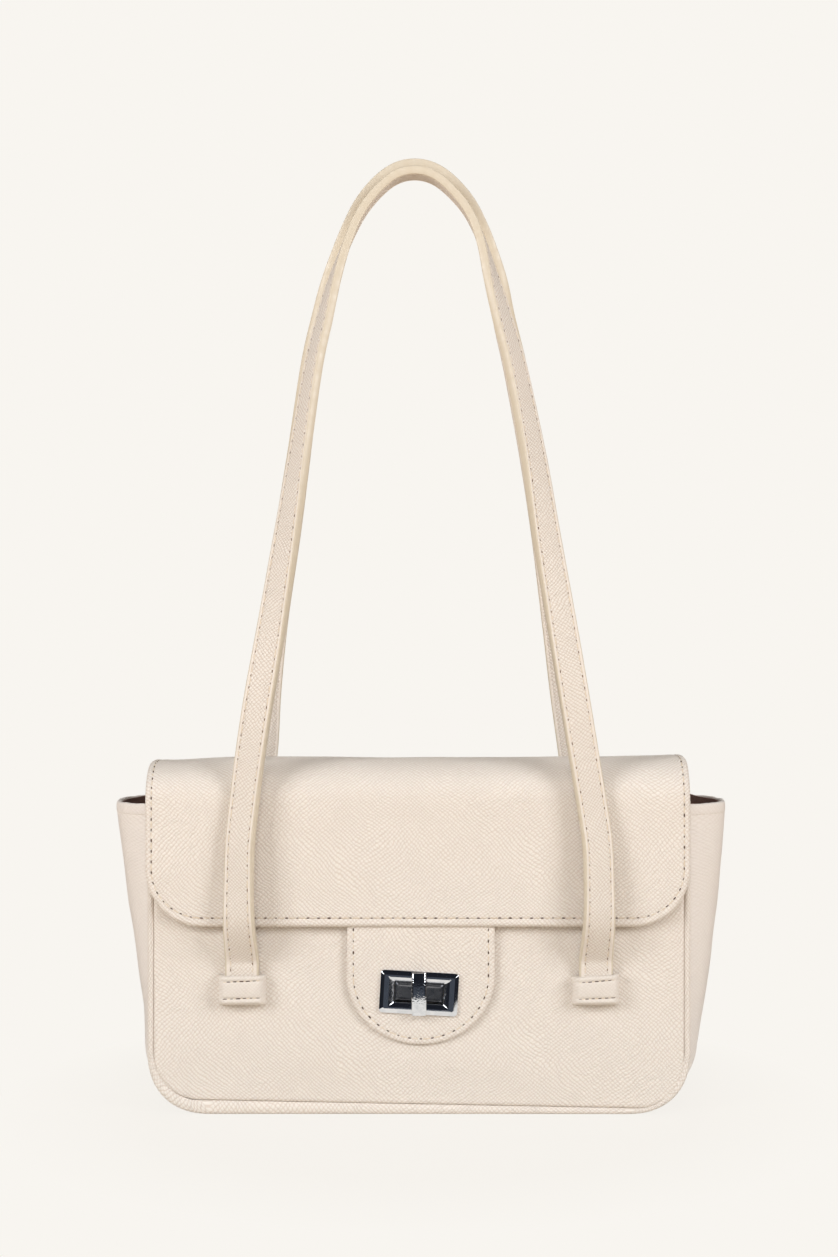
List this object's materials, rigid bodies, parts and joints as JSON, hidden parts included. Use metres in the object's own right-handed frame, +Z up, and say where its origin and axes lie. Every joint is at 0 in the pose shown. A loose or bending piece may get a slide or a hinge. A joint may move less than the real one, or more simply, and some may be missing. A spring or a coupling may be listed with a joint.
{
  "type": "handbag",
  "caption": "Structured shoulder bag with a fold-over flap, a rounded tab held by a turn lock, bellied side gussets and tall flat shoulder straps sewn under keepers.",
  "frame": {"origin": "middle of the base's underside, on the ground the bag stands on", "axes": "+X to the right seen from the front, +Y to the back of the bag, +Z up"},
  "size_m": [0.3056, 0.1006, 0.4722],
  "materials": {
    "leather": "cream small-grain embossed leather",
    "strap_leather": "cream leather with painted edges",
    "lining": "brown woven cloth",
    "board": "grey stiffener board",
    "chrome": "polished plating",
    "steel": "plated, softly reflecting"
  },
  "bodies": {
    "body": {"front_panel": "leather", "back_panel": "leather", "base_panel": "leather", "left_gusset": "leather", "right_gusset": "leather", "front_welt": "leather", "back_welt": "leather", "front_lining": "lining", "back_lining": "lining", "left_lining": "lining", "right_lining": "lining", "base_lining": "lining", "front_board": "board", "back_board": "board", "base_board": "board", "left_gusset_binding": "leather", "right_gusset_binding": "leather", "front_top_binding": "leather", "flap_hinge_strip": "leather", "lock_base_plate": "steel", "lock_inner_plate": "steel", "lock_spring_washer": "steel", "front_left_keeper": "leather", "front_right_keeper": "leather", "rear_left_keeper": "leather", "rear_right_keeper": "leather", "front_left_strap_end": "strap_leather", "front_right_strap_end": "strap_leather", "rear_left_strap_end": "strap_leather", "rear_right_strap_end": "strap_leather"},
    "flap": {"flap_outer": "leather", "flap_board": "board", "flap_lining": "lining", "tab_outer": "leather", "tab_lining": "lining", "lock_bezel": "chrome", "lock_bezel_back": "steel"},
    "lock_knob": {"lock_knob": "chrome", "lock_spindle": "steel", "lock_spindle_clip": "steel"},
    "front_strap": {"front_strap_outer": "leather", "front_strap_backing": "strap_leather"},
    "rear_strap": {"rear_strap_outer": "leather", "rear_strap_backing": "strap_leather"}
  },
  "joints": [
    {"name": "flap_hinge", "type": "hinge", "parent": "body", "child": "flap", "pos_m": [0, 0.031, 0.165], "axis": [-1, 0, 0], "range_deg": [0, 90]},
    {"name": "lock_turn", "type": "hinge", "parent": "body", "child": "lock_knob", "pos_m": [0, -0.038, 0.0598], "axis": [0, 1, 0], "range_deg": [0, 90]},
    {"name": "front_strap_swing", "type": "hinge", "parent": "body", "child": "front_strap", "pos_m": [0, -0.0367, 0.0708], "axis": [1, 0, 0], "range_deg": [0, 95]},
    {"name": "rear_strap_swing", "type": "hinge", "parent": "body", "child": "rear_strap", "pos_m": [0, 0.0367, 0.0708], "axis": [-1, 0, 0], "range_deg": [0, 95]}
  ],
  "couplings": [
    {"joint": "front_strap_swing", "follows": "flap_hinge", "ratio": 1.05}
  ]
}
